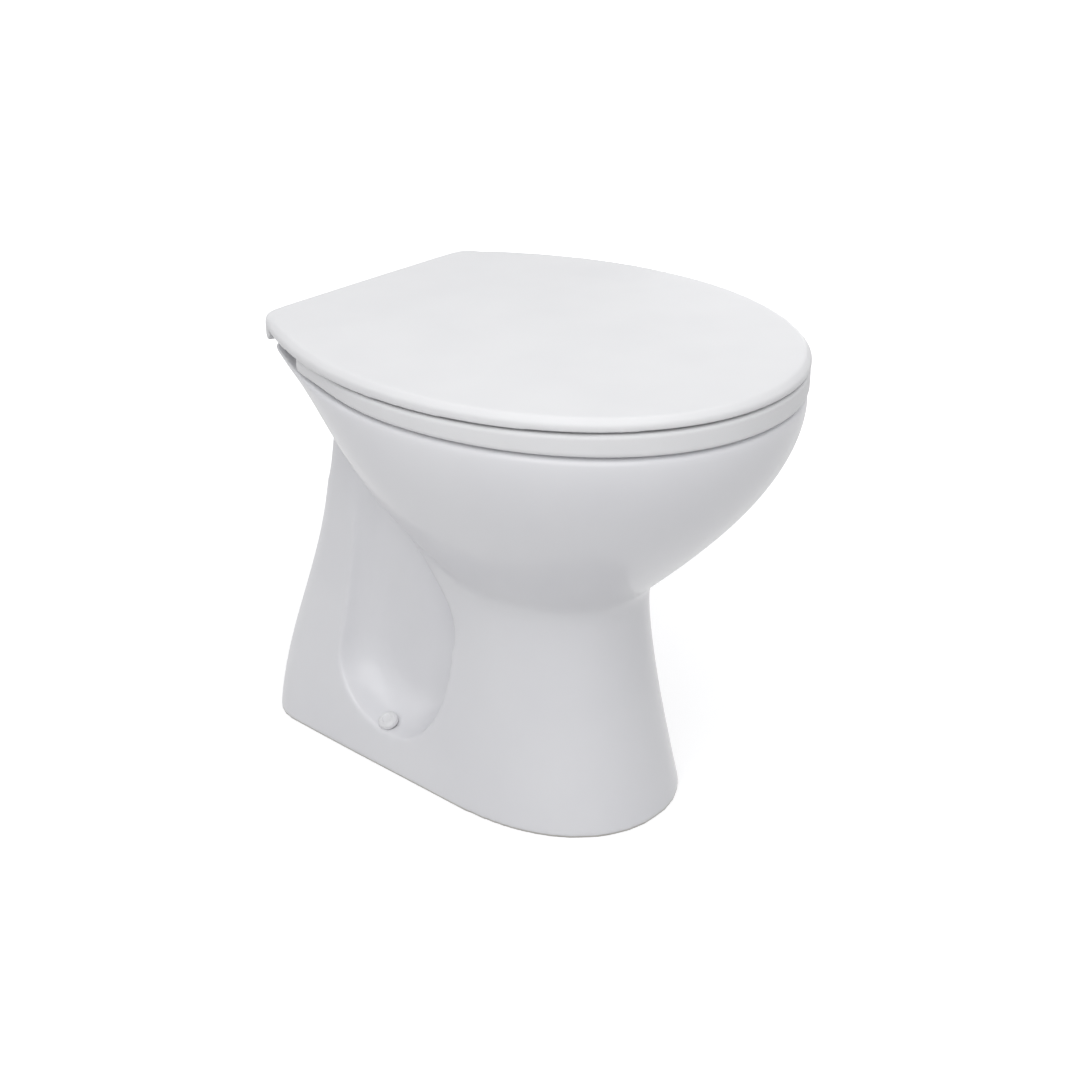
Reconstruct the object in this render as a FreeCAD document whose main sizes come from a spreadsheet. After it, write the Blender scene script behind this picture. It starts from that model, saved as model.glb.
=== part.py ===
import FreeCAD, Part
import Sketcher
import math
import os
from FreeCAD import Placement, Rotation, Vector

# Floor-standing toilet pan with a moulded seat and lid, in millimetres.
# Front of the pan is -Y, +Z is up, the floor is z = 0.

doc = FreeCAD.newDocument("toilet")
sheet = doc.addObject("Spreadsheet::Sheet", "Sizes")

SIZES = {
    # Overall plan, measured from the line across the widest part of the rim
    "widest_line": -15.5,
    "lid_half_width": 182,
    "lid_front": 225,
    "lid_back": 212,
    "lid_back_flat_share": 0.511,
    "lid_corner": 40,
    "lid_taper": 28,
    # Pan: rim, bowl and rear shelf
    "rim_height": 386,
    "rim_inset": 1.5,
    "shelf_back": 204,
    "shelf_thickness": 16,
    "rim_round": 3,
    "china_wall": 12,
    "bowl_wall": 14,
    "bowl_swell": 330,
    "bowl_turn": 266,
    "bowl_turn_half_width": 136,
    "bowl_foot": 182,
    "bowl_foot_half_width": 62,
    "opening_share": 0.714,
    "opening_front": 174,
    "opening_back": 106,
    "lip_thickness": 10,
    "lip_depth": 36,
    "channel_width": 20,
    "channel_height": 22,
    # Pan: pedestal
    "foot_half_width": 103,
    "foot_front": 140,
    "foot_back": 262,
    "foot_corner_share": 0.46,
    "neck_corner_share": 0.58,
    "cheek_trim": 16,
    "cheek_gap_half_width": 62,
    "waist_line": -5.5,
    "waist_half_width": 80,
    "waist_front": 105.5,
    "waist_height": 180,
    "neck_back": 190,
    "neck_height": 320,
    "pedestal_top": 350,
    "flare_power": 1.35,
    # Pan: side recess, outline drawn on the plane of the pedestal side
    "recess_plane": 82,
    "recess_floor": 57,
    "recess_front": 17,
    "recess_front_height": 148,
    "recess_back": 153,
    "recess_top": 296,
    "recess_bottom": 38,
    # Pan: water way
    "trap_radius": 38,
    "trap_wall": 10,
    "well_height": 110,
    "weir_height": 234,
    "outlet_height": 180,
    "outlet_radius": 51,
    "outlet_end": 212,
    "outlet_root": 190,
    "inlet_height": 328,
    "inlet_bore": 27.5,
    "inlet_wall": 9,
    "inlet_end": 187,
    # Floor fixings
    "fixing_x": 87,
    "fixing_y": 94,
    "fixing_z": 38,
    "fixing_tilt": 25,
    "fixing_hole": 6.2,
    "fixing_lug": 19,
    "sleeve_clearance": 0.3,
    "sleeve_wall": 1.4,
    "sleeve_flange": 7.3,
    "sleeve_flange_height": 3,
    "sleeve_length": 26,
    "cap_radius": 9,
    "cap_height": 6,
    "cap_wall": 1.4,
    "cap_dish": 1.2,
    # Hinges
    "hinge_spacing": 155,
    "hinge_hole": 8,
    "hinge_height": 14.5,
    "barrel_radius": 12,
    "hinge_clearance": 0.6,
    "pin_radius": 4,
    "pin_running_fit": 0.05,
    "bush_wall": 2,
    "bracket_width": 20,
    "bracket_thickness": 4,
    "bracket_eye": 9,
    "gasket_thickness": 1,
    "bolt_radius": 4,
    "bolt_length": 40,
    "bolt_head": 7,
    "bolt_head_height": 3.5,
    "nut_radius": 9,
    "nut_height": 12,
    "nut_span": 14.5,
    "washer_radius": 11,
    "washer_height": 5,
    "side_gap": 1,
    "knuckle_width": 24,
    "pin_length": 68,
    "bolt_clearance": 0.3,
    "hinge_hole_reach": -32,
    "bracket_nose": 13,
    "bracket_heel": -12,
    "bracket_web_low": -6.3,
    "bracket_web_high": 5,
    "bracket_web_start": -22,
    "gasket_half_width": 10,
    "nut_inner": 5,
    "wing_thickness": 4,
    # Seat
    "seat_gap": 2.2,
    "seat_inset": 0.5,
    "seat_back": 140,
    "seat_back_flat_share": 0.703,
    "seat_corner": 30,
    "seat_taper": 15,
    "seat_round": 2,
    "hole_share": 0.615,
    "hole_front": 160,
    "hole_back": 108,
    "arm_width": 23,
    # Lid
    "lid_gap": 1.8,
    "lid_skirt": 1.1,
    "lid_tilt": 0.97,
    "lid_edge": 11.5,
    "lid_wall": 5,
    "lid_dome": 6000,
    "lid_dome_centre": 185,
    "lid_round": 8,
    # Buffers
    "buffer_radius": 10,
    "buffer_stem": 3,
    "buffer_stem_length": 4,
    "buffer_clearance": 0.1,
    "press_clearance": 0.02,
    "seat_buffer_front_x": 120,
    "seat_buffer_front_y": -128,
    "seat_buffer_rear_x": 150,
    "seat_buffer_rear_y": 35,
    "lid_buffer_x": 112,
    "lid_buffer_y": -310,
}
for row, (name, value) in enumerate(SIZES.items(), start=1):
    sheet.set("A%d" % row, name)
    sheet.set("B%d" % row, str(value))
    sheet.setAlias("B%d" % row, name)
doc.recompute()


def size(name):
    return float(sheet.get(name))


def bezier(*poles):
    curve = Part.BezierCurve()
    curve.setPoles([Vector(*pole) for pole in poles])
    return curve.toShape()


def blend(start, first, second, end, t):
    """Value of a cubic curve with these four control values."""
    s = 1 - t
    return s ** 3 * start + 3 * s * s * t * first + 3 * s * t * t * second + t ** 3 * end


def outline(z, half_width, front, back, flat, corner, taper, line, fullness=(0.6, 0.53)):
    """Closed plan outline: round front, tapering sides, rounded rear corners, straight back."""
    angle = math.radians(taper)
    corner_x = flat + corner * math.cos(angle)
    corner_y = back - corner + corner * math.sin(angle)
    middle = (math.radians(90) + angle) / 2
    reach = 0.38 * corner_y
    handle_x = corner_x + reach * math.sin(angle)
    handle_y = corner_y - reach * math.cos(angle)
    middle_x = flat + corner * math.cos(middle)
    middle_y = back - corner + corner * math.sin(middle)
    edges = []
    for side in (1, -1):
        tip = (0, line - front, z)
        widest = (side * half_width, line, z)
        corner_start = (side * corner_x, line + corner_y, z)
        corner_end = (side * flat, line + back, z)
        half = [
            bezier(tip, (side * fullness[0] * half_width, line - front, z),
                   (side * half_width, line - fullness[1] * front, z), widest),
            bezier(widest, (side * half_width, line + reach, z),
                   (side * handle_x, line + handle_y, z), corner_start),
            Part.Arc(Vector(*corner_start), Vector(side * middle_x, line + middle_y, z),
                     Vector(*corner_end)).toShape(),
        ]
        edges.append(half)
    back_edge = Part.makeLine(Vector(flat, line + back, z), Vector(-flat, line + back, z))
    return Part.Wire(edges[0] + [back_edge] + list(reversed(edges[1])))


def prism(wire, height):
    return Part.Face(wire).extrude(Vector(0, 0, height))


def mirrored(shape):
    return shape.mirror(Vector(0, 0, 0), Vector(1, 0, 0))


def cylinder(radius, length, base, axis):
    return Part.makeCylinder(radius, length, Vector(*base), Vector(*axis))


def box(x0, x1, y0, y1, z0, z1):
    return Part.makeBox(x1 - x0, y1 - y0, z1 - z0, Vector(x0, y0, z0))


def feature(name, shape, placement=None):
    node = doc.addObject("Part::Feature", name)
    node.Label = name
    node.Shape = shape
    if placement:
        node.Placement = placement
    return node


line = size("widest_line")
rim = size("rim_height")
wall = size("china_wall")
hinge_x = size("hinge_spacing") / 2
hinge_z = rim + size("hinge_height")
hinge_y = line + size("lid_back") - size("barrel_radius")
hinge_hole_y = hinge_y + size("hinge_hole_reach")
shelf_under = rim - size("shelf_thickness")


# Pan

rim_half_width = size("lid_half_width") - size("rim_inset")
front_ratio = size("lid_front") / size("lid_half_width")
back_ratio = size("shelf_back") / rim_half_width


def bowl_level(t):
    """Half width and height of the bowl's flank, from the rim (0) to the bowl's foot (1)."""
    half_width = blend(rim_half_width, rim_half_width + 3, size("bowl_turn_half_width"),
                       size("bowl_foot_half_width"), t)
    height = blend(rim, size("bowl_swell"), size("bowl_turn"), size("bowl_foot"), t)
    return half_width, height


def bowl_wire(t, inset=0.0, back=None, raised=0.0):
    """Plan outline of the bowl at a level: squarish at the shelf, egg-shaped below it."""
    half_width, height = bowl_level(t)
    height += raised
    square = max(0.0, 1 - (rim - height) / 55) ** 1.5
    half_width -= inset
    rear = half_width * back_ratio if back is None else back
    corner = half_width * (0.34 - 0.175 * square)
    flat = half_width * (0.25 + 0.29 * square)
    if back is not None:
        flat = half_width * 0.3
        corner = min(rear, half_width) * 0.55
    return outline(height, half_width, half_width * front_ratio, rear, flat, corner,
                   40 - 12 * square, line)


def well_wire(height, half_width, rear):
    return outline(height, half_width, half_width, rear, half_width * 0.3, half_width * 0.6, 30, line)


rim_turn = size("rim_round") / (3 * (rim - size("bowl_swell")))
rim_steps = [math.radians(angle) for angle in (0, 45, 90)]
bowl_levels = [rim_turn, 0.17, 0.38, 0.62, 0.82, 1]
well_half_width = size("trap_radius") + size("trap_wall")
well_bottom = size("well_height") - size("trap_radius") - size("trap_wall")
bowl = Part.makeLoft([bowl_wire(t) for t in bowl_levels], True, False)
rim_edge = []
for angle in rim_steps:
    inset = size("rim_round") * (1 - math.cos(angle))
    raised = (rim - bowl_level(rim_turn)[1]) * math.sin(angle)
    rim_edge.append(bowl_wire(rim_turn, inset, None, raised))
bowl = bowl.fuse(Part.makeLoft(rim_edge, True, True))
bowl = bowl.fuse(Part.makeLoft([
    well_wire(size("bowl_foot") + 10, well_half_width + 2, 60),
    well_wire(well_bottom, well_half_width - 8, 56),
], True, True))


def basin_back(height):
    return 33 + 0.47 * (height - size("bowl_foot"))


def basin(grow):
    """Room inside the bowl below the rim, made larger by the given amount."""
    sections = []
    for t in bowl_levels[1:]:
        height = bowl_level(t)[1]
        inset = size("bowl_wall") - grow
        sections.append(bowl_wire(t, inset, basin_back(height) + grow, inset * t))
    well = size("trap_radius") + grow
    room = Part.makeLoft(sections, True, False)
    return room.fuse(Part.makeLoft([
        well_wire(size("bowl_foot") + size("bowl_wall") + 6, well, 32 + grow),
        well_wire(size("well_height") - size("trap_radius") + 4 - grow, well - 8, 26 + grow),
    ], True, True))


def rim_outline(z, grow):
    half_width = size("opening_share") * size("lid_half_width") + grow
    return outline(z, half_width, size("opening_front") + grow, size("opening_back") + grow,
                   half_width * 0.3, half_width * 0.5, 30, line)


def pedestal_level(height):
    """How far the foot's flare stands out at a height, 1 on the floor and 0 at the waist."""
    return max(0.0, 1 - height / size("waist_height")) ** size("flare_power")


def pedestal_back(height):
    low, high = 0.0, 1.0
    for step in range(30):
        t = (low + high) / 2
        if blend(0, 0.3 * size("neck_height"), 0.58 * size("neck_height"), size("neck_height"), t) < height:
            low = t
        else:
            high = t
    return blend(size("foot_back"), size("foot_back") + 4, size("neck_back") + 18, size("neck_back"), low)


def pedestal_wire(height, inset=0.0, back=None):
    flare = pedestal_level(height)
    half_width = size("waist_half_width") + flare * (size("foot_half_width") - size("waist_half_width"))
    front = size("waist_front") + flare * (size("foot_front") - size("waist_front"))
    rear = pedestal_back(height) if back is None else back
    rear_half_width = half_width - 6 * min(1.0, height / 220) - inset
    rise = min(1.0, height / 130)
    share = size("foot_corner_share") + rise * (size("neck_corner_share") - size("foot_corner_share"))
    corner = rear_half_width * share
    return outline(height, half_width - inset, front - inset, rear, rear_half_width - corner, corner, 2,
                   size("waist_line"), (0.6, 0.6))


pedestal_top = size("pedestal_top")
pedestal_levels = [0, 22, 65, 130, 220, pedestal_top]
pedestal = Part.makeLoft([pedestal_wire(height) for height in pedestal_levels], True, False)


def cheek_edge(height):
    return Vector(-200, size("waist_line") + pedestal_back(height) - size("cheek_trim"), height)


# The cheeks end in an upright edge that leans forward with height
edge_curve = Part.BSplineCurve()
edge_curve.interpolate([cheek_edge(height) for height in pedestal_levels])
low_corner = Vector(-200, 400, 0)
high_corner = Vector(-200, 400, pedestal_top)
edge_wire = Part.Wire([
    edge_curve.toShape(),
    Part.makeLine(cheek_edge(pedestal_top), high_corner),
    Part.makeLine(high_corner, low_corner),
    Part.makeLine(low_corner, cheek_edge(0)),
])
pedestal = pedestal.cut(Part.Face(edge_wire).extrude(Vector(400, 0, 0)))
hollow = Part.makeLoft([pedestal_wire(height, wall, pedestal_back(height) - wall)
                        for height in (-5, pedestal_levels[3], pedestal_top)], True, True)
back_gap = size("cheek_gap_half_width")
hollow = hollow.fuse(box(-back_gap, back_gap, size("neck_back") - 50, size("foot_back") + 40, -5, pedestal_top))


def recess_wire(x, scale):
    """Teardrop outline of the side recess at a distance from the middle plane."""
    front, back = size("recess_front"), size("recess_back")
    top, bottom = size("recess_top"), size("recess_bottom")
    belly = size("recess_front_height")
    centre_y, centre_z = front + 43, 115

    def at(y, z):
        return (x, centre_y + (y - centre_y) * scale, centre_z + (z - centre_z) * scale)

    low = (front + back) / 2 - 4
    return Part.Wire([
        bezier(at(back - 12, top), at(back - 60, top - 64), at(front, belly + 50), at(front, belly)),
        bezier(at(front, belly), at(front, bottom + 44), at(low - 40, bottom), at(low, bottom)),
        bezier(at(low, bottom), at(low + 36, bottom), at(back + 6, bottom + 20), at(back, bottom + 70)),
        bezier(at(back, bottom + 70), at(back - 5, bottom + 140), at(back - 10, top - 70), at(back - 12, top)),
    ])


recess_steps = [(57, 0.6), (60, 0.8), (70, 0.93), (82, 1.0), (118, 1.22)]


def recess(grow, straight):
    """Room of the side recess, made larger by the given amount, with straight or curved walls."""
    sections = []
    for x, scale in recess_steps:
        sections.append(recess_wire(x - grow, scale + grow / 75))
    return Part.makeLoft(sections, True, straight)


pocket_room = recess(0, False)
pocket_wall = recess(wall, True)
skirt = pedestal.cut(pocket_room).cut(mirrored(pocket_room))
hollow = hollow.cut(pocket_wall).cut(mirrored(pocket_wall))
tilt = math.radians(size("fixing_tilt"))
fixing_top = Vector(size("fixing_x"), size("fixing_y"), size("fixing_z"))
fixing_down = Vector(-math.sin(tilt), 0, -math.cos(tilt))
lug = Part.makeCylinder(size("fixing_lug"), 120, fixing_top - fixing_down * 40, fixing_down)
hollow = hollow.cut(lug).cut(mirrored(lug))
skirt = skirt.cut(hollow)

# Room behind the bowl and under the shelf, open to the back
behind = Part.makeLoft([bowl_wire(t, wall) for t in bowl_levels[:5]], True, True)
behind = behind.common(box(-200, 200, 60, 300, 200, shelf_under))
behind = behind.fuse(box(-back_gap, back_gap, 150, 300, 335, shelf_under))
nut_room = hinge_x + size("washer_radius") + 1
nut_reach = size("nut_span") + 1.5
nut_low = shelf_under - size("washer_height") - size("nut_height") - 5.5
behind = behind.fuse(box(-nut_room, nut_room, hinge_hole_y - nut_reach, hinge_hole_y + nut_reach,
                         nut_low, shelf_under))
behind = behind.fuse(box(-60, 60, 130, 300, 200, shelf_under))
behind = behind.cut(basin(wall))
behind = behind.cut(prism(rim_outline(0, size("lip_thickness") + size("channel_width") + wall), 500))
skirt = skirt.cut(bowl).cut(behind)
bowl = bowl.cut(behind)

# Trap way: down into the well, under the dip, over the weir and out to the back
trap_points = [
    Vector(0, line + 12, size("well_height")),
    Vector(0, line + 56, size("well_height")),
    Vector(0, line + 112, size("weir_height")),
    Vector(0, line + 166, size("outlet_height")),
    Vector(0, size("outlet_end") - 20, size("outlet_height")),
]


def tube(radius):
    """Round way through the trap points, each leg run on until its outer sides nearly meet at the bends."""
    legs = [end - start for start, end in zip(trap_points, trap_points[1:])]
    overruns = [0.0]
    for leg, following in zip(legs, legs[1:]):
        overruns.append(0.9 * radius * math.tan(leg.getAngle(following) / 2))
    overruns.append(0.0)
    shape = None
    for start, leg, before, after in zip(trap_points, legs, overruns, overruns[1:]):
        along = Vector(leg).normalize()
        way = Part.makeCylinder(radius, before + leg.Length + after, start - along * before, along)
        shape = way if shape is None else shape.fuse(way)
    return shape


trap_way = tube(size("trap_radius"))
trap_tube = tube(size("trap_radius") + size("trap_wall"))
outlet_start = line + size("outlet_root")
outlet = cylinder(size("outlet_radius"), size("outlet_end") - outlet_start,
                  (0, outlet_start, size("outlet_height")), (0, 1, 0))
inlet_outer = size("inlet_bore") + size("inlet_wall")
inlet_start = line + size("opening_back") + size("lip_thickness") + size("channel_width") + 2
inlet_place = ((0, inlet_start, size("inlet_height")), (0, 1, 0))
inlet = cylinder(inlet_outer, size("inlet_end") - inlet_start, *inlet_place)
trap = trap_tube.fuse(outlet).cut(bowl)
skirt = skirt.cut(trap_tube).cut(outlet)
bowl = bowl.cut(inlet)

# Water room: opening, flushing channel under the rim, basin, trap and inlet
channel_low = rim - size("lip_depth")
channel_high = channel_low + size("channel_height")
bowl = bowl.cut(basin(0).common(box(-300, 300, -300, 300, 0, channel_low + 1)))
bowl = bowl.cut(prism(rim_outline(channel_low, 0), size("lip_depth")))
opening_edge = []
for angle in rim_steps[:2]:
    grow = size("rim_round") * (1 - math.cos(angle))
    opening_edge.append(rim_outline(rim - size("rim_round") * (1 - math.sin(angle)), grow))
opening_edge.append(rim_outline(rim, size("rim_round")))
bowl = bowl.cut(Part.makeLoft(opening_edge, True, True))
channel = prism(rim_outline(channel_low, size("lip_thickness") + size("channel_width")), size("channel_height"))
channel = channel.cut(prism(rim_outline(channel_low, size("lip_thickness")), size("channel_height")))
bowl = bowl.cut(channel)
bowl = bowl.cut(trap_way)
trap = trap.cut(trap_way)
mouth_depth = 24
trap = trap.cut(cylinder(size("outlet_radius") - 8, 2 * mouth_depth,
                         (0, size("outlet_end") - mouth_depth, size("outlet_height")), (0, 1, 0)))
inlet = inlet.cut(cylinder(size("inlet_bore"), 200, *inlet_place))
feed = box(-24, 24, inlet_start - 18, inlet_start + 12, size("inlet_height"), channel_high)
bowl = bowl.cut(feed)

# Holes for the hinge bolts and the floor fixings
for side in (-1, 1):
    hole = cylinder(size("hinge_hole"), 40, (side * hinge_x, hinge_hole_y, rim - 30), (0, 0, 1))
    bowl = bowl.cut(hole)
fixing = Part.makeCylinder(size("fixing_hole"), 200, fixing_top - fixing_down * 100, fixing_down)
spot = Part.makeCylinder(size("cap_radius") + 2, 40, fixing_top, fixing_down * -1)
for tool in (spot, mirrored(spot), fixing, mirrored(fixing)):
    skirt = skirt.cut(tool)

# The clay pieces meet on two level joints: rim on bowl, bowl on the sump that leads into the trap
sump_high = size("bowl_foot") + size("bowl_wall") + 2
ring = bowl.common(box(-300, 300, -300, 300, channel_low, rim + 10))
sump = bowl.common(box(-300, 300, -300, 300, 0, sump_high))
bowl = bowl.common(box(-300, 300, -300, 300, sump_high, channel_low))

feature("pan_rim", ring)
feature("pan_bowl", bowl)
feature("pan_sump", sump)
feature("pan_pedestal", skirt)
feature("pan_trap", trap)
feature("pan_inlet", inlet)


# Seat ring: solid moulding that thickens to the front, with two hinge arms

seat_low = rim + size("seat_gap")
slope = math.tan(math.radians(size("lid_tilt")))
seat_high = hinge_z + size("lid_skirt") - size("lid_gap")
seat_half_width = size("lid_half_width") - size("seat_inset")
seat_front = size("lid_front") - size("seat_inset")
hole_half_width = size("hole_share") * size("lid_half_width")


def seat_outline(z, inset):
    half_width = seat_half_width - inset
    return outline(z, half_width, seat_front - inset, size("seat_back") - inset,
                   size("seat_back_flat_share") * size("lid_half_width") - inset,
                   size("seat_corner"), size("seat_taper"), line)


def hole_outline(z, grow):
    half_width = hole_half_width + grow
    return outline(z, half_width, size("hole_front") + grow, size("hole_back") + grow,
                   half_width * 0.25, half_width * 0.5, 30, line)


# Edges are turned over at 45 degrees: a cone-sided roof over the ring, a funnel down its hole
seat_round = size("seat_round")
eaves = 30
seat_tilt = Placement(Vector(0, hinge_y, seat_high), Rotation(Vector(1, 0, 0), -size("lid_tilt")))
seat_tilt = seat_tilt.multiply(Placement(Vector(0, -hinge_y, 0), Rotation()))
roof = Part.makeLoft([seat_outline(0, seat_round), seat_outline(-eaves, seat_round - eaves)], True, True)
roof.Placement = seat_tilt
funnel = Part.makeLoft([hole_outline(1, seat_round + 1), hole_outline(-eaves, seat_round - eaves)], True, True)
funnel.Placement = seat_tilt
ring = Part.makeLoft([seat_outline(seat_low, seat_round), seat_outline(seat_low + eaves, seat_round - eaves)], True, True)
ring = ring.common(prism(seat_outline(seat_low, 0), 40)).common(roof)
ring = ring.cut(prism(hole_outline(seat_low, 0), 40)).cut(funnel)
arm_out = hinge_x - size("bracket_width") / 2 - size("side_gap")
arm_in = arm_out - size("arm_width")
arm_start = line + size("seat_back") - 14
arm = box(arm_in, arm_out, arm_start, hinge_y, seat_low + 1, seat_high)
arm = arm.fuse(cylinder(size("bracket_eye"), size("arm_width"), (arm_in, hinge_y, hinge_z), (1, 0, 0)))
bush_radius = size("pin_radius") + size("pin_running_fit") + size("bush_wall")
bush_bore = cylinder(bush_radius + size("press_clearance"), size("arm_width"), (arm_in, hinge_y, hinge_z), (1, 0, 0))
arm = arm.cut(bush_bore)
seat_shape = ring.fuse(arm).fuse(mirrored(arm))
seat_buffer_places = {
    "seat_buffers_front": (size("seat_buffer_front_x"), size("seat_buffer_front_y")),
    "seat_buffers_rear": (size("seat_buffer_rear_x"), size("seat_buffer_rear_y")),
}
stem_hole = size("buffer_stem") + size("press_clearance")
stem_depth = size("buffer_stem_length") + 0.5
for x, y in seat_buffer_places.values():
    for side in (-1, 1):
        seat_shape = seat_shape.cut(cylinder(stem_hole, stem_depth, (side * x, y, seat_low), (0, 0, 1)))
feature("seat_ring", seat_shape.removeSplitter())


# Lid: domed shell with a turned-down edge, rolled round the hinge line at the back.
# Drawn level about the hinge line, then tilted to rise to the front.

lid_line = -size("lid_back") + size("barrel_radius")
lid_low = size("lid_skirt")


def lid_outline(z, inset=0.0):
    return outline(z, size("lid_half_width") - inset, size("lid_front") - inset, size("lid_back") - inset,
                   size("lid_back_flat_share") * size("lid_half_width") - inset * 0.5, size("lid_corner") - inset * 0.5, size("lid_taper"), lid_line)


crown = lid_low + size("lid_edge") + size("lid_half_width") ** 2 / (2 * size("lid_dome"))


def dome(drop):
    centre = Vector(0, -size("lid_dome_centre"), crown - drop - size("lid_dome"))
    return Part.makeSphere(size("lid_dome"), centre, Vector(1, 0, 0))


shell = prism(lid_outline(lid_low), 60).common(dome(0))
top_edges = [e for e in shell.Edges if e.CenterOfMass.z > lid_low + 4 and abs(e.tangentAt(e.FirstParameter).z) < 0.5]
shell = shell.makeChamfer(size("lid_round") * (2 - math.sqrt(2)), top_edges)
shell = shell.cut(box(-300, 300, 0, 60, -60, 60))
room = prism(lid_outline(-30, size("lid_wall")), 90).common(dome(size("lid_wall")))
room = room.cut(box(-300, 300, -size("barrel_radius") - 2, 60, -60, 60))
shell = shell.cut(room)
barrel = cylinder(size("barrel_radius"), 300, (-150, 0, 0), (1, 0, 0))
barrel = barrel.common(prism(lid_outline(-30), 60))
shell = shell.fuse(barrel)
notch_in = arm_in - size("side_gap")
notch_out = hinge_x + size("bracket_width") / 2 + size("side_gap")
notch = cylinder(size("bracket_eye") + size("hinge_clearance"), notch_out - notch_in, (notch_in, 0, 0), (1, 0, 0))
notch = notch.fuse(box(notch_in, notch_out, -size("barrel_radius") - 4, 0, -30, size("barrel_radius") / 2))
notch = notch.fuse(box(notch_in, notch_out, 0, 30, -30, 0))
notch = notch.fuse(box(notch_in, notch_out, size("barrel_radius") * 0.48, 30, -30, 30))
knuckle_bore = cylinder(bush_radius + size("press_clearance"), size("knuckle_width"), (notch_out, 0, 0), (1, 0, 0))
lid_buffer_y = size("lid_buffer_y")
ceiling = crown - size("lid_wall") - (size("lid_buffer_x") ** 2 + (lid_buffer_y + size("lid_dome_centre")) ** 2) / (
    2 * size("lid_dome"))
stem_top = ceiling + 2
lid_stem = cylinder(stem_hole, 30, (size("lid_buffer_x"), lid_buffer_y, stem_top - 30), (0, 0, 1))
for tool in (notch, mirrored(notch), knuckle_bore, mirrored(knuckle_bore), lid_stem, mirrored(lid_stem)):
    shell = shell.cut(tool)
lid_place = Placement(Vector(0, hinge_y, hinge_z), Rotation(Vector(1, 0, 0), -size("lid_tilt")))
feature("lid", shell, lid_place)


# Turned pieces: a half profile of radius and height, revolved about the piece's own axis

def origin_plane(body, role):
    return [f for f in body.Origin.OriginFeatures if f.Role == role][0]


def profile_sketch(body, role, corners):
    """Closed outline through corners given as pairs of expressions, held by dimensions."""
    sketch = body.newObject("Sketcher::SketchObject", body.Name + "Sketch")
    sketch.AttachmentSupport = [(origin_plane(body, role), "")]
    sketch.MapMode = "FlatFace"
    values = [(size_of(a), size_of(b)) for a, b in corners]
    points = [Vector(a, b, 0) for a, b in values]
    for start, end in zip(points, points[1:] + points[:1]):
        sketch.addGeometry(Part.LineSegment(start, end), False)
    count = len(points)
    for i in range(count):
        sketch.addConstraint(Sketcher.Constraint("Coincident", i, 2, (i + 1) % count, 1))
    for i, (a, b) in enumerate(corners):
        for kind, text, value in (("DistanceX", a, values[i][0]), ("DistanceY", b, values[i][1])):
            index = sketch.addConstraint(Sketcher.Constraint(kind, -1, 1, i, 1, value))
            sketch.setExpression("Constraints[%d]" % index, in_sheet(text))
    return sketch


def terms(text):
    return text.replace("-", " - ").replace("+", " + ").replace("*", " * ").replace("/", " / ").split()


def in_sheet(text):
    return "".join("Sizes." + word if word in SIZES else word for word in terms(text))


def size_of(text):
    total, sign = 0.0, 1.0
    for word in terms(text):
        if word == "-":
            sign = -1.0
        elif word == "+":
            sign = 1.0
        else:
            total += sign * (size(word) if word in SIZES else float(word))
    return total


def turned(name, corners, placement):
    body = doc.addObject("PartDesign::Body", name)
    body.Label = name
    sketch = profile_sketch(body, "XZ_Plane", corners)
    turn = body.newObject("PartDesign::Revolution", name + "Turn")
    turn.Profile = sketch
    turn.ReferenceAxis = (sketch, ["V_Axis"])
    turn.Angle = 360
    body.Placement = placement
    return body


def padded(name, role, corners, length):
    body = doc.addObject("PartDesign::Body", name)
    body.Label = name
    sketch = profile_sketch(body, role, corners)
    pad = body.newObject("PartDesign::Pad", name + "Pad")
    pad.Profile = sketch
    pad.Midplane = True
    pad.setExpression("Length", in_sheet(length))
    return body


def round_cut(body, name, role, radius, across, up, join=False):
    """Round hole (or round boss) through a body, its centre held by dimensions."""
    sketch = body.newObject("Sketcher::SketchObject", name + "Sketch")
    sketch.AttachmentSupport = [(origin_plane(body, role), "")]
    sketch.MapMode = "FlatFace"
    centre = Vector(size_of(across), size_of(up), 0)
    sketch.addGeometry(Part.Circle(centre, Vector(0, 0, 1), size_of(radius)), False)
    index = sketch.addConstraint(Sketcher.Constraint("Radius", 0, size_of(radius)))
    sketch.setExpression("Constraints[%d]" % index, in_sheet(radius))
    for kind, text in (("DistanceX", across), ("DistanceY", up)):
        index = sketch.addConstraint(Sketcher.Constraint(kind, -1, 1, 0, 3, size_of(text)))
        sketch.setExpression("Constraints[%d]" % index, in_sheet(text))
    kind = "PartDesign::Pad" if join else "PartDesign::Pocket"
    made = body.newObject(kind, name)
    made.Profile = sketch
    made.Midplane = True
    if join:
        made.setExpression("Length", in_sheet(join))
    else:
        made.Type = 1
    return made


upright = Rotation()
along_x = Rotation(Vector(0, 1, 0), 90)
sides = {"left": -1, "right": 1}
plate_high = hinge_z - size("hinge_height") + size("gasket_thickness") + size("bracket_thickness")

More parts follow.
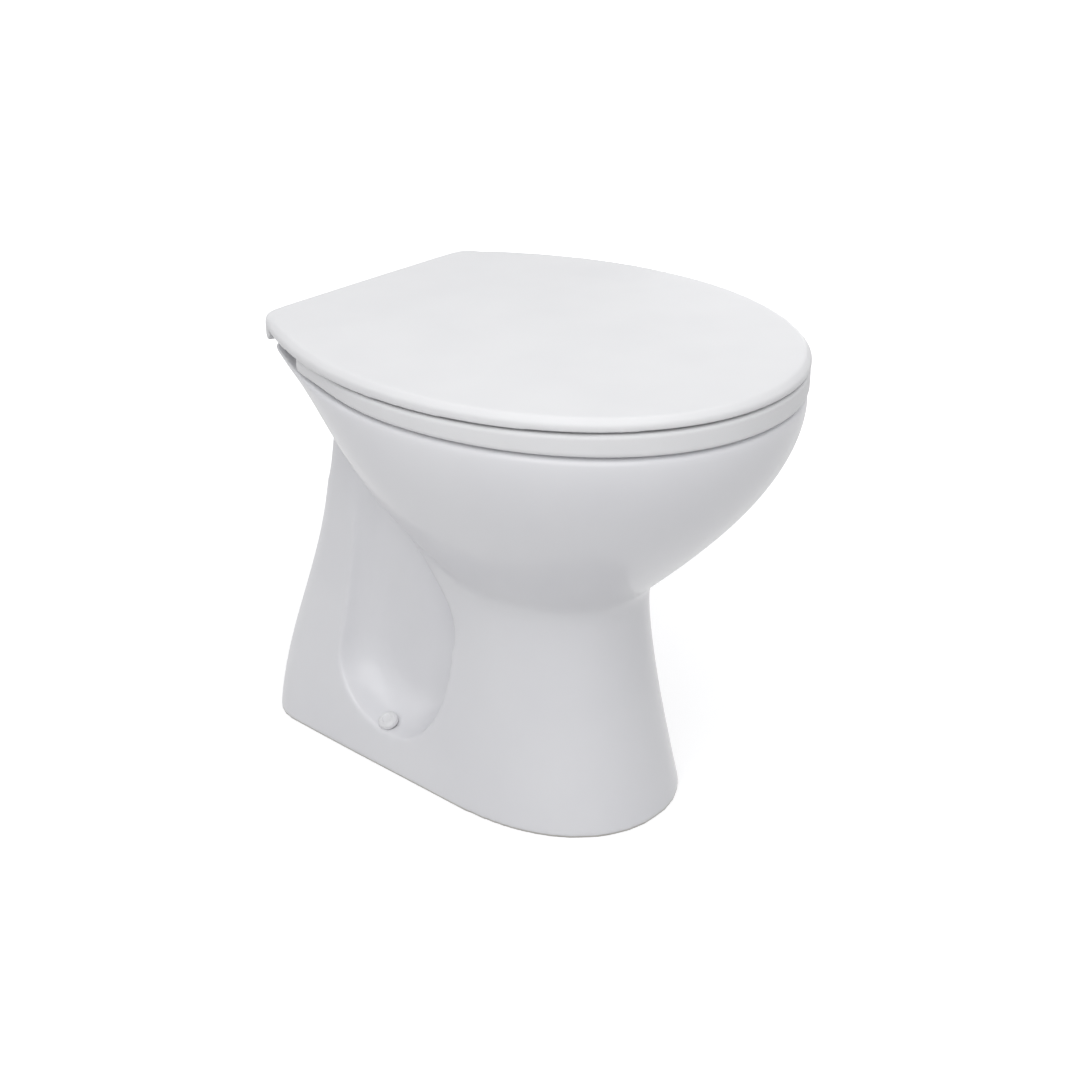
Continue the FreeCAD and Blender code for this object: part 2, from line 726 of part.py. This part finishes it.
for word, side in sides.items():
    # Bracket: base plate under the bolt head, web and eye that carry the pin
    bracket = padded("hinge_bracket_" + word, "YZ_Plane", [
        ("hinge_hole_reach-bracket_nose", "gasket_thickness-hinge_height"),
        ("bracket_heel", "gasket_thickness-hinge_height"),
        ("bracket_web_low", "bracket_web_low"),
        ("bracket_web_low", "bracket_web_high"),
        ("bracket_web_start", "gasket_thickness+bracket_thickness-hinge_height"),
        ("hinge_hole_reach-bracket_nose", "gasket_thickness+bracket_thickness-hinge_height"),
    ], "bracket_width")
    round_cut(bracket, "eye_" + word, "YZ_Plane", "bracket_eye", "0", "0", "bracket_width")
    doc.recompute()
    round_cut(bracket, "pin_hole_" + word, "YZ_Plane", "pin_radius+press_clearance", "0", "0")
    round_cut(bracket, "bolt_hole_" + word, "XY_Plane", "bolt_radius+bolt_clearance", "0", "hinge_hole_reach")
    bracket.Placement = Placement(Vector(side * hinge_x, hinge_y, hinge_z), upright)

    # Gasket between the base plate and the china
    gasket = padded("bracket_gasket_" + word, "XY_Plane", [
        ("0-gasket_half_width", "hinge_hole_reach-bracket_nose"),
        ("gasket_half_width", "hinge_hole_reach-bracket_nose"),
        ("gasket_half_width", "bracket_heel"),
        ("0-gasket_half_width", "bracket_heel"),
    ], "gasket_thickness")
    round_cut(gasket, "gasket_hole_" + word, "XY_Plane", "bolt_radius+bolt_clearance", "0", "hinge_hole_reach")
    gasket.Placement = Placement(Vector(side * hinge_x, hinge_y, rim + size("gasket_thickness") / 2), upright)

    # Pin through the bracket, with a bush for the seat arm and one for the lid
    turned("hinge_pin_" + word, [("0", "0"), ("pin_radius", "0"), ("pin_radius", "pin_length"), ("0", "pin_length")],
           Placement(Vector(side * (arm_in + 1), hinge_y, hinge_z), Rotation(Vector(0, 1, 0), 90 * side)))
    bush = [("pin_radius+pin_running_fit", "0"), ("pin_radius+pin_running_fit+bush_wall", "0")]
    turned("seat_bush_" + word, bush + [(a, "arm_width") for a, b in reversed(bush)],
           Placement(Vector(side * arm_in, hinge_y, hinge_z), Rotation(Vector(0, 1, 0), 90 * side)))
    turned("lid_bush_" + word, bush + [(a, "knuckle_width") for a, b in reversed(bush)],
           Placement(Vector(side * notch_out, hinge_y, hinge_z), Rotation(Vector(0, 1, 0), 90 * side)))

    # Bolt down through the shelf, cone washer and wing nut under it
    bolt_place = Vector(side * hinge_x, hinge_hole_y, plate_high)
    turned("hinge_bolt_" + word, [
        ("0", "bolt_head_height"), ("bolt_head-1", "bolt_head_height"), ("bolt_head", "bolt_head_height-1"),
        ("bolt_head", "0"), ("bolt_radius", "0"), ("bolt_radius", "1-bolt_length"), ("bolt_radius-1", "0-bolt_length"),
        ("0", "0-bolt_length"),
    ], Placement(bolt_place, upright))
    turned("cone_washer_" + word, [
        ("bolt_radius+bolt_clearance", "0-washer_height"), ("washer_radius", "0-washer_height"), ("washer_radius", "0"),
        ("hinge_hole-0.5", "0"), ("bolt_radius+bolt_clearance", "4"),
    ], Placement(Vector(side * hinge_x, hinge_hole_y, shelf_under), upright))
    nut = turned("wing_nut_" + word, [
        ("bolt_radius+bolt_clearance", "0"), ("nut_radius", "0"), ("nut_radius-2", "0-nut_height"),
        ("bolt_radius+bolt_clearance", "0-nut_height"),
    ], Placement(Vector(side * hinge_x, hinge_hole_y, shelf_under - size("washer_height")), upright))
    for wing, sign in (("a", ""), ("b", "0-")):
        sketch = profile_sketch(nut, "YZ_Plane", [
            (sign + "nut_inner", "0-nut_height"), (sign + "nut_span", "3-nut_height"),
            (sign + "nut_span", "0-nut_height-4"), (sign + "nut_inner", "0-nut_height-2"),
        ] if sign == "" else [
            ("0-nut_inner", "0-nut_height"), ("0-nut_span", "3-nut_height"),
            ("0-nut_span", "0-nut_height-4"), ("0-nut_inner", "0-nut_height-2"),
        ])
        pad = nut.newObject("PartDesign::Pad", "wing_" + wing + word)
        pad.Profile = sketch
        pad.Midplane = True
        pad.setExpression("Length", "Sizes.wing_thickness")

    # Floor fixing: sleeve in the china, cover cap snapped over its flange
    fixing_place = Placement(Vector(side * size("fixing_x"), size("fixing_y"), size("fixing_z")),
                             Rotation(Vector(0, 1, 0), side * size("fixing_tilt")))
    turned("fixing_sleeve_" + word, [
        ("fixing_hole-sleeve_clearance-sleeve_wall", "0-sleeve_length"),
        ("fixing_hole-sleeve_clearance", "0-sleeve_length"), ("fixing_hole-sleeve_clearance", "0"),
        ("sleeve_flange", "0"), ("sleeve_flange", "sleeve_flange_height"),
        ("fixing_hole-sleeve_clearance-sleeve_wall", "sleeve_flange_height"),
    ], fixing_place)
    turned("fixing_cap_" + word, [
        ("cap_radius-cap_wall", "0"), ("cap_radius", "0"), ("cap_radius", "cap_height-2"),
        ("cap_radius-2", "cap_height"), ("cap_radius-4", "cap_height"),
        ("cap_radius-5", "cap_height-cap_dish"), ("0", "cap_height-cap_dish"),
        ("0", "sleeve_flange_height+0.3"), ("cap_radius-cap_wall", "sleeve_flange_height+0.3"),
    ], fixing_place)


# Buffers: rubber feet plugged into the seat and the lid

def buffer_pair(name, x, y, low, high, stem, placement=None):
    foot = cylinder(size("buffer_radius"), high - low, (x, y, low), (0, 0, 1))
    foot = foot.fuse(cylinder(size("buffer_stem"), stem, (x, y, high - 0.01), (0, 0, 1)))
    pair = Part.makeCompound([foot, mirrored(foot)])
    return feature(name, pair, placement)


for name, (x, y) in seat_buffer_places.items():
    buffer_pair(name, x, y, rim + size("buffer_clearance"), seat_low, size("buffer_stem_length"))
lid_foot_high = ceiling - 1.2
buffer_pair("lid_buffers", size("lid_buffer_x"), lid_buffer_y,
            lid_low - size("lid_gap") + size("buffer_clearance"), lid_foot_high, stem_top - lid_foot_high - 0.3, lid_place)

doc.recompute()
nodes = [o for o in doc.Objects if o.TypeId in ("PartDesign::Body", "Part::Feature")]
for o in doc.Objects:
    bad = [word for word in ("Invalid", "Error") if word in o.State]
    if bad:
        raise RuntimeError("%s is %s" % (o.Name, bad))
os.makedirs("parts", exist_ok=True)
for node in nodes:
    if node.Shape.isNull() or not node.Shape.isValid():
        raise RuntimeError("%s has no valid shape" % node.Label)
    node.Shape.exportStep("parts/%s.step" % node.Label)
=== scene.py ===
import math

import bpy
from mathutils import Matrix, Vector
from mathutils.bvhtree import BVHTree
from mathutils.kdtree import KDTree


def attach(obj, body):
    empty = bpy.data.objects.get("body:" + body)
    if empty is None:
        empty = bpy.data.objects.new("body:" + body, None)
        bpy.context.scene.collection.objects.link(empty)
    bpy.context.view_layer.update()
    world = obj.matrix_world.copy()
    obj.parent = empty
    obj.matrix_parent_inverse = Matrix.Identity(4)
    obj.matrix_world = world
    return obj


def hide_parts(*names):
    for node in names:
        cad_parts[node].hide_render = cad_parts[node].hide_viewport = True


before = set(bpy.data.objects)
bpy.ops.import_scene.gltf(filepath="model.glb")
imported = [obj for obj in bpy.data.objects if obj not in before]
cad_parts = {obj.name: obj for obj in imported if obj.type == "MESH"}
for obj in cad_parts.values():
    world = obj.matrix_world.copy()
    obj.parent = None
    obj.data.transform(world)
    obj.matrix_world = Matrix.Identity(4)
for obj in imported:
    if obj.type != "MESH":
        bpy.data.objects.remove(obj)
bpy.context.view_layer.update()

# Pan.
# Vitreous china: bowl with rim, pedestal, trap and flush inlet are cast apart in plaster moulds,
# stuck together in the clay, glazed white and fired into one piece that stands on its own foot.


def new_material(name):
    """Empty node material with a shader, its output and the piece's own coordinates."""
    material = bpy.data.materials.new(name)
    material.use_nodes = True
    nodes = material.node_tree.nodes
    nodes.clear()
    output = nodes.new("ShaderNodeOutputMaterial")
    shader = nodes.new("ShaderNodeBsdfPrincipled")
    place = nodes.new("ShaderNodeTexCoord")
    material.node_tree.links.new(shader.outputs["BSDF"], output.inputs["Surface"])
    return material, shader, place


def mottle(material, place, scale, detail):
    """Cloudy noise over the surface, scale in clouds per metre."""
    cloud = material.node_tree.nodes.new("ShaderNodeTexNoise")
    cloud.inputs["Scale"].default_value = scale
    cloud.inputs["Detail"].default_value = detail
    material.node_tree.links.new(place.outputs["Object"], cloud.inputs["Vector"])
    return cloud


def tint(material, source, low, high, dark, light):
    """Colour that drifts between two tints as the source passes from low to high."""
    ramp = material.node_tree.nodes.new("ShaderNodeValToRGB")
    ramp.color_ramp.elements[0].position = low
    ramp.color_ramp.elements[1].position = high
    ramp.color_ramp.elements[0].color = (*dark, 1)
    ramp.color_ramp.elements[1].color = (*light, 1)
    material.node_tree.links.new(source, ramp.inputs["Fac"])
    return ramp.outputs["Color"]


def span(material, source, low, high, start=0.0, end=1.0):
    """Number that runs from low to high as the source runs from start to end."""
    spread = material.node_tree.nodes.new("ShaderNodeMapRange")
    spread.inputs["From Min"].default_value = start
    spread.inputs["From Max"].default_value = end
    spread.inputs["To Min"].default_value = low
    spread.inputs["To Max"].default_value = high
    material.node_tree.links.new(source, spread.inputs["Value"])
    return spread.outputs["Result"]


def relief(material, shader, height, strength, distance):
    """Fine relief of the surface from a height."""
    bump = material.node_tree.nodes.new("ShaderNodeBump")
    bump.inputs["Strength"].default_value = strength
    bump.inputs["Distance"].default_value = distance
    material.node_tree.links.new(height, bump.inputs["Height"])
    material.node_tree.links.new(bump.outputs["Normal"], shader.inputs["Normal"])


def merged_copy(nodes, name):
    """One object made of copies of the named solids' skins, with their seams merged."""
    bpy.ops.object.select_all(action="DESELECT")
    for node in nodes:
        piece = bpy.data.objects.new(name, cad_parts[node].data.copy())
        bpy.context.scene.collection.objects.link(piece)
        piece.data.materials.clear()
        piece.select_set(True)
        bpy.context.view_layer.objects.active = piece
    if len(nodes) > 1:
        bpy.ops.object.join()
    bpy.ops.object.mode_set(mode="EDIT")
    bpy.ops.mesh.select_all(action="SELECT")
    bpy.ops.mesh.remove_doubles(threshold=0.00002)
    bpy.ops.object.mode_set(mode="OBJECT")
    return bpy.context.view_layer.objects.active


def relaid_copy(nodes, name, grain):
    """Copy of solids whose skin is laid again in even faces of one size."""
    piece = merged_copy(nodes, name)
    skin = piece.modifiers.new("skin", "REMESH")
    skin.mode = "VOXEL"
    skin.voxel_size = grain
    bpy.ops.object.modifier_apply(modifier="skin")
    return piece


def soften(piece, rounds, places=None, reach=0.0):
    """Round the edges of a skin, all over or only within reach of some places."""
    wear = piece.modifiers.new("wear", "SMOOTH")
    wear.factor = 0.5
    wear.iterations = rounds
    if places:
        tree = KDTree(len(places))
        for index, spot in enumerate(places):
            tree.insert(spot, index)
        tree.balance()
        group = piece.vertex_groups.new(name="near")
        for vertex in piece.data.vertices:
            distance = tree.find(vertex.co)[2]
            if distance < reach:
                group.add([vertex.index], (1 - distance / reach) ** 0.7, "REPLACE")
        wear.vertex_group = "near"
    bpy.ops.object.modifier_apply(modifier="wear")
    piece.vertex_groups.clear()


def finish_skin(piece, most_faces):
    """Leave a skin with no more triangles than it needs and shade it smooth."""
    thin = piece.modifiers.new("thin", "DECIMATE")
    thin.ratio = min(1.0, most_faces / (2 * len(piece.data.polygons)))
    bpy.ops.object.modifier_apply(modifier="thin")
    bpy.ops.object.shade_smooth()


def skin_tree(nodes):
    """Search tree over the skins of some solids."""
    corners, faces = [], []
    for node in nodes:
        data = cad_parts[node].data
        start = len(corners)
        corners += [vertex.co.copy() for vertex in data.vertices]
        faces += [[start + index for index in face.vertices] for face in data.polygons]
    return BVHTree.FromPolygons(corners, faces)


china_nodes = ["pan_rim", "pan_bowl", "pan_sump", "pan_pedestal", "pan_trap", "pan_inlet"]
china_grain = 0.0018
china_faces = 190000
pan = relaid_copy(china_nodes, "china_pan", china_grain)

# The clay joint between bowl and pedestal is sponged to a soft roll.
joint_lowest = 0.16
joint_width = 0.002
joint_roll = 0.055
bowl_skin = skin_tree(["pan_bowl", "pan_sump"])
pedestal_skin = skin_tree(["pan_pedestal"])
crease = []
for vertex in pan.data.vertices:
    if vertex.co.z > joint_lowest and pedestal_skin.find_nearest(vertex.co, joint_width)[0] is not None:
        if bowl_skin.find_nearest(vertex.co, joint_width)[0] is not None:
            crease.append(vertex.co.copy())
soften(pan, 400, crease, joint_roll)


def gentle_step(value, start, end):
    """Smooth step from 0 at the start to 1 at the end."""
    share = min(1.0, max(0.0, (value - start) / (end - start)))
    return share * share * (3 - 2 * share)


# Each side recess is scooped deeper just behind its front edge, given here in Y and Z.
scoop_depth = 0.014
scoop_ends = (0.09, 0.15, 0.19, 0.255)
scoop_wall = 0.016
scoop_run = 0.06
edge_steps = 80
edge_upper = [(0.141, 0.296), (0.093, 0.232), (0.017, 0.198), (0.017, 0.148)]
edge_lower = [(0.017, 0.148), (0.017, 0.082), (0.041, 0.038), (0.081, 0.038)]
recess_edge = KDTree(2 * edge_steps)
for count, poles in enumerate((edge_upper, edge_lower)):
    for step in range(edge_steps):
        t = step / (edge_steps - 1)
        shares = ((1 - t) ** 3, 3 * t * (1 - t) ** 2, 3 * t * t * (1 - t), t ** 3)
        y = sum(share * pole[0] for share, pole in zip(shares, poles))
        z = sum(share * pole[1] for share, pole in zip(shares, poles))
        recess_edge.insert((0, y, z), count * edge_steps + step)
recess_edge.balance()
low_end, low_full, high_full, high_end = scoop_ends
for vertex in pan.data.vertices:
    spot = vertex.co
    if 0.03 < abs(spot.x) < 0.09 and low_end < spot.z < high_end and 0.017 < spot.y < 0.13:
        edge, _, inside = recess_edge.find((0, spot.y, spot.z))
        if spot.y > edge.y:
            along = gentle_step(spot.z, low_end, low_full) * (1 - gentle_step(spot.z, high_full, high_end))
            across = gentle_step(inside, 0.0, scoop_wall) * (1 - gentle_step(inside, scoop_wall, scoop_run))
            spot.x -= math.copysign(scoop_depth * along * across, spot.x)
scoop_floor = []
for side in (-1, 1):
    scoop_floor += [Vector((side * 0.055, 0.085, 0.09 + 0.02 * step)) for step in range(7)]
soften(pan, 150, scoop_floor, 0.05)
soften(pan, 14)

# The foot is flat, and it is left unglazed where it stands in the kiln.
foot_edge = 0.002
for vertex in pan.data.vertices:
    if vertex.co.z < foot_edge:
        vertex.co.z = 0.0
finish_skin(pan, china_faces)

glaze_grey = (0.80, 0.80, 0.825)
glaze_white = (0.83, 0.83, 0.85)
bare_clay = (0.62, 0.6, 0.56, 1)
glaze, shader, place = new_material("white_glaze")
wave = mottle(glaze, place, 38, 1.5)
drift = mottle(glaze, place, 9, 2)
height = glaze.node_tree.nodes.new("ShaderNodeSeparateXYZ")
glaze.node_tree.links.new(place.outputs["Object"], height.inputs["Vector"])
glazed = tint(glaze, drift.outputs["Fac"], 0.3, 0.7, glaze_grey, glaze_white)
bare = span(glaze, height.outputs["Z"], 1.0, 0.0, 0.6 * foot_edge, foot_edge)
foot_ring = glaze.node_tree.nodes.new("ShaderNodeMix")
foot_ring.data_type = "RGBA"
foot_ring.inputs[7].default_value = bare_clay
glaze.node_tree.links.new(bare, foot_ring.inputs[0])
glaze.node_tree.links.new(glazed, foot_ring.inputs[6])
glaze.node_tree.links.new(foot_ring.outputs[2], shader.inputs["Base Color"])
glaze.node_tree.links.new(span(glaze, drift.outputs["Fac"], 0.29, 0.36), shader.inputs["Roughness"])
shader.inputs["IOR"].default_value = 1.52
shader.inputs["Coat Weight"].default_value = 0.3
shader.inputs["Coat Roughness"].default_value = 0.05
relief(glaze, shader, wave.outputs["Fac"], 0.06, 0.002)
pan.data.materials.append(glaze)
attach(pan, "pan")
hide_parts(*china_nodes)

# Seat ring.
# Compression-moulded white plastic ring, thicker to the front, with two arms to the hinge line.
# It turns on the two hinge pins and rests on four rubber feet.

moulding_grain = 0.0011
seat_faces = 90000
seat_ring = relaid_copy(["seat_ring"], "seat_moulding", moulding_grain)
soften(seat_ring, 8)
finish_skin(seat_ring, seat_faces)
moulding_grey = (0.815, 0.815, 0.825)
moulding_white = (0.84, 0.84, 0.848)
moulding, shader, place = new_material("white_moulding")
drift = mottle(moulding, place, 14, 2)
fine = mottle(moulding, place, 420, 2)
colour = tint(moulding, drift.outputs["Fac"], 0.3, 0.7, moulding_grey, moulding_white)
moulding.node_tree.links.new(colour, shader.inputs["Base Color"])
moulding.node_tree.links.new(span(moulding, fine.outputs["Fac"], 0.36, 0.46), shader.inputs["Roughness"])
shader.inputs["IOR"].default_value = 1.5
relief(moulding, shader, fine.outputs["Fac"], 0.03, 0.0004)
seat_ring.data.materials.append(moulding)
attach(seat_ring, "seat")
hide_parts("seat_ring")

# Lid.
# Shallow domed shell of the same plastic, rolled round the hinge line at the back.
# It turns on the same two pins as the seat and rests on it with two rubber feet.

lid_faces = 120000
lid_corner_round = 0.03
lid = relaid_copy(["lid"], "lid_moulding", moulding_grain)
lid_corners = [Vector((side * 0.117, 0.186, z)) for side in (-1, 1) for z in (0.392, 0.402, 0.412)]
soften(lid, 120, lid_corners, lid_corner_round)
soften(lid, 18)
finish_skin(lid, lid_faces)
lid.data.materials.append(moulding)
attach(lid, "lid")
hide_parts("lid")

# Hinge brackets, pins and bolts.
# Pressed and turned stainless steel: the bracket's foot is bolted through the rear shelf,
# and its eye carries the pin that seat and lid turn on. The bolt has a slot for a driver.


def eased_copy(node, name, edge):
    """Copy of a small solid with its sharp edges eased."""
    piece = merged_copy([node], name)
    bpy.ops.object.mode_set(mode="EDIT")
    bpy.ops.mesh.select_all(action="SELECT")
    bpy.ops.mesh.dissolve_limited(angle_limit=math.radians(1))
    bpy.ops.object.mode_set(mode="OBJECT")
    ease = piece.modifiers.new("ease", "BEVEL")
    ease.width = edge
    ease.segments = 2
    ease.limit_method = "ANGLE"
    ease.angle_limit = math.radians(35)
    bpy.ops.object.modifier_apply(modifier="ease")
    bpy.ops.object.shade_smooth_by_angle(angle=math.radians(40))
    return piece


def fit(piece, material, body, node):
    """Give a small piece its material and body, and hide the solid it stands in for."""
    piece.data.materials.append(material)
    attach(piece, body)
    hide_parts(node)


steel, shader, place = new_material("satin_steel")
stretch = steel.node_tree.nodes.new("ShaderNodeMapping")
stretch.inputs["Scale"].default_value = (0.05, 1, 1)
steel.node_tree.links.new(place.outputs["Object"], stretch.inputs["Vector"])
brushed = steel.node_tree.nodes.new("ShaderNodeTexNoise")
brushed.inputs["Scale"].default_value = 1800
brushed.inputs["Detail"].default_value = 3
steel.node_tree.links.new(stretch.outputs["Vector"], brushed.inputs["Vector"])
colour = tint(steel, brushed.outputs["Fac"], 0.3, 0.7, (0.53, 0.53, 0.54), (0.66, 0.66, 0.67))
steel.node_tree.links.new(colour, shader.inputs["Base Color"])
steel.node_tree.links.new(span(steel, brushed.outputs["Fac"], 0.22, 0.4), shader.inputs["Roughness"])
shader.inputs["Metallic"].default_value = 1.0
relief(steel, shader, brushed.outputs["Fac"], 0.05, 0.0002)

slot_width = 0.0016
slot_length = 0.02
slot_depth = 0.0016
for side in ("left", "right"):
    bracket = eased_copy("hinge_bracket_" + side, "bracket_pressing_" + side, 0.0006)
    fit(bracket, steel, "pan", "hinge_bracket_" + side)
    pin = eased_copy("hinge_pin_" + side, "pin_turned_" + side, 0.0005)
    fit(pin, steel, "pan", "hinge_pin_" + side)
    bolt = eased_copy("hinge_bolt_" + side, "bolt_turned_" + side, 0.0004)
    head = max((vertex.co.copy() for vertex in bolt.data.vertices), key=lambda spot: spot.z)
    middle = sum((Vector(corner) for corner in bolt.bound_box), Vector()) / 8
    bpy.ops.object.select_all(action="DESELECT")
    bpy.ops.mesh.primitive_cube_add(size=1)
    driver = bpy.context.object
    for corner in driver.data.vertices:
        corner.co.x = middle.x + corner.co.x * slot_width
        corner.co.y = middle.y + corner.co.y * slot_length
        corner.co.z = head.z + corner.co.z * 2 * slot_depth
    bpy.context.view_layer.objects.active = bolt
    slot = bolt.modifiers.new("slot", "BOOLEAN")
    slot.object = driver
    bpy.ops.object.modifier_apply(modifier="slot")
    bpy.data.objects.remove(driver)
    fit(bolt, steel, "pan", "hinge_bolt_" + side)

# Bushes, cone washers and wing nuts.
# White nylon: a bush in each seat arm and lid knuckle, and a washer and nut under the shelf
# that a hand can turn.

nylon, shader, place = new_material("white_nylon")
grain = mottle(nylon, place, 300, 2)
colour = tint(nylon, grain.outputs["Fac"], 0.3, 0.7, (0.76, 0.76, 0.74), (0.82, 0.82, 0.8))
nylon.node_tree.links.new(colour, shader.inputs["Base Color"])
nylon.node_tree.links.new(span(nylon, grain.outputs["Fac"], 0.4, 0.55), shader.inputs["Roughness"])
shader.inputs["Subsurface Weight"].default_value = 0.08
shader.inputs["Subsurface Scale"].default_value = 0.002
relief(nylon, shader, grain.outputs["Fac"], 0.05, 0.0003)

for side in ("left", "right"):
    seat_bush = eased_copy("seat_bush_" + side, "seat_bush_moulding_" + side, 0.0003)
    fit(seat_bush, nylon, "seat", "seat_bush_" + side)
    lid_bush = eased_copy("lid_bush_" + side, "lid_bush_moulding_" + side, 0.0003)
    fit(lid_bush, nylon, "lid", "lid_bush_" + side)
    washer = eased_copy("cone_washer_" + side, "washer_moulding_" + side, 0.0005)
    fit(washer, nylon, "pan", "cone_washer_" + side)
    nut = eased_copy("wing_nut_" + side, "nut_moulding_" + side, 0.0006)
    fit(nut, nylon, "pan", "wing_nut_" + side)

# Gaskets and buffers.
# Pale soft rubber: a thin pad under each bracket, four feet under the seat and two in the lid.

rubber, shader, place = new_material("pale_rubber")
grain = mottle(rubber, place, 500, 3)
colour = tint(rubber, grain.outputs["Fac"], 0.3, 0.7, (0.6, 0.6, 0.59), (0.68, 0.68, 0.67))
rubber.node_tree.links.new(colour, shader.inputs["Base Color"])
rubber.node_tree.links.new(span(rubber, grain.outputs["Fac"], 0.6, 0.8), shader.inputs["Roughness"])
relief(rubber, shader, grain.outputs["Fac"], 0.1, 0.0003)

for side in ("left", "right"):
    gasket = eased_copy("bracket_gasket_" + side, "gasket_cut_" + side, 0.0002)
    fit(gasket, rubber, "pan", "bracket_gasket_" + side)
for node, body in (("seat_buffers_front", "seat"), ("seat_buffers_rear", "seat"), ("lid_buffers", "lid")):
    feet = eased_copy(node, node + "_moulded", 0.0006)
    fit(feet, rubber, body, node)

# Floor fixings.
# Nylon sleeve in the hole at the bottom of each side recess, for the floor screw,
# and a white cap with a dished face snapped over its flange.

for side in ("left", "right"):
    sleeve = eased_copy("fixing_sleeve_" + side, "sleeve_moulding_" + side, 0.0003)
    fit(sleeve, nylon, "pan", "fixing_sleeve_" + side)
    cap = eased_copy("fixing_cap_" + side, "cap_moulding_" + side, 0.0004)
    fit(cap, moulding, "pan", "fixing_cap_" + side)

# Studio.
# White floor and room under a large soft lamp overhead, with a softer one to the left and a weak one
# behind, seen from the front left a little above the lid.

bpy.ops.object.select_all(action="DESELECT")
bpy.ops.mesh.primitive_plane_add(size=60)
floor = bpy.context.object
floor.name = "studio_floor"


def any_ray(tree, *kinds):
    """1 for rays of the named kinds and 0 for all others."""
    rays = tree.nodes.new("ShaderNodeLightPath")
    seen = rays.outputs[kinds[0]]
    for kind in kinds[1:]:
        either = tree.nodes.new("ShaderNodeMath")
        either.operation = "MAXIMUM"
        tree.links.new(seen, either.inputs[0])
        tree.links.new(rays.outputs[kind], either.inputs[1])
        seen = either.outputs["Value"]
    return seen


floor_grey = (0.56, 0.56, 0.565)
floor_pale = (0.58, 0.58, 0.585)
glow_near = 0.6
glow_far = 1.0
paint, shader, place = new_material("floor_paint")
tree = paint.node_tree
cloud = mottle(paint, place, 3, 2)
colour = tint(paint, cloud.outputs["Fac"], 0.3, 0.7, floor_grey, floor_pale)
tree.links.new(colour, shader.inputs["Base Color"])
shader.inputs["Roughness"].default_value = 0.9
shader.inputs["Specular IOR Level"].default_value = 0.0
shader.inputs["Emission Color"].default_value = (1, 1, 1, 1)
away = tree.nodes.new("ShaderNodeVectorMath")
away.operation = "LENGTH"
tree.links.new(place.outputs["Object"], away.inputs[0])
floor_glow = tree.nodes.new("ShaderNodeMath")
floor_glow.operation = "MULTIPLY"
tree.links.new(any_ray(tree, "Is Camera Ray"), floor_glow.inputs[0])
glow = span(paint, away.outputs["Value"], glow_near, glow_far, 0.45, 1.1)
tree.links.new(glow, floor_glow.inputs[1])
tree.links.new(floor_glow.outputs["Value"], shader.inputs["Emission Strength"])
mirrored = tree.nodes.new("ShaderNodeEmission")
either = tree.nodes.new("ShaderNodeMixShader")
tree.links.new(any_ray(tree, "Is Glossy Ray", "Is Transmission Ray"), either.inputs[0])
tree.links.new(shader.outputs["BSDF"], either.inputs[1])
tree.links.new(mirrored.outputs["Emission"], either.inputs[2])
surface = [node for node in tree.nodes if node.type == "OUTPUT_MATERIAL"][0]
tree.links.new(either.outputs["Shader"], surface.inputs["Surface"])
floor.data.materials.append(paint)

room_light = 0.5
world = bpy.data.worlds.new("studio")
bpy.context.scene.world = world
world.use_nodes = True
world.node_tree.nodes.clear()
sky = world.node_tree.nodes.new("ShaderNodeBackground")
sky.inputs["Color"].default_value = (0.98, 0.985, 1.0, 1)
seen = any_ray(world.node_tree, "Is Camera Ray", "Is Glossy Ray", "Is Transmission Ray")
strength = span(world, seen, room_light, 1.0)
world.node_tree.links.new(strength, sky.inputs["Strength"])
surface = world.node_tree.nodes.new("ShaderNodeOutputWorld")
world.node_tree.links.new(sky.outputs["Background"], surface.inputs["Surface"])


def soft_lamp(name, width, power, place, target):
    """Square soft box that faces a point."""
    data = bpy.data.lights.new(name, "AREA")
    data.shape = "SQUARE"
    data.size = width
    data.energy = power
    lamp = bpy.data.objects.new(name, data)
    bpy.context.scene.collection.objects.link(lamp)
    lamp.location = place
    lamp.rotation_euler = (Vector(target) - Vector(place)).to_track_quat("-Z", "Y").to_euler()
    return lamp


soft_lamp("overhead_light", 2.4, 20, (-0.2, -0.2, 2.6), (0, 0, 0.3))
soft_lamp("left_light", 2.1, 17, (-1.55, -1.0, 1.4), (0, 0, 0.2))
soft_lamp("rear_light", 0.6, 4, (1.7, 0.8, 0.36), (0, 0, 0.2))

azimuth = math.radians(-48.343)
elevation = math.radians(26.694)
reach = 1.5174
look_at = Vector((0, -0.0155, 0.210))
level = math.cos(elevation)
back = Vector((math.sin(azimuth) * level, -math.cos(azimuth) * level, math.sin(elevation)))
camera_data = bpy.data.cameras.new("camera")
camera_data.lens = 36 * 1775.5 / 1080
camera_data.sensor_width = 36
camera_data.shift_x = -0.0036
camera_data.shift_y = 0.0142
camera = bpy.data.objects.new("camera", camera_data)
bpy.context.scene.collection.objects.link(camera)
camera.location = look_at + back * reach
camera.rotation_euler = (-back).to_track_quat("-Z", "Y").to_euler()
bpy.context.scene.camera = camera
bpy.context.scene.view_settings.view_transform = "Standard"
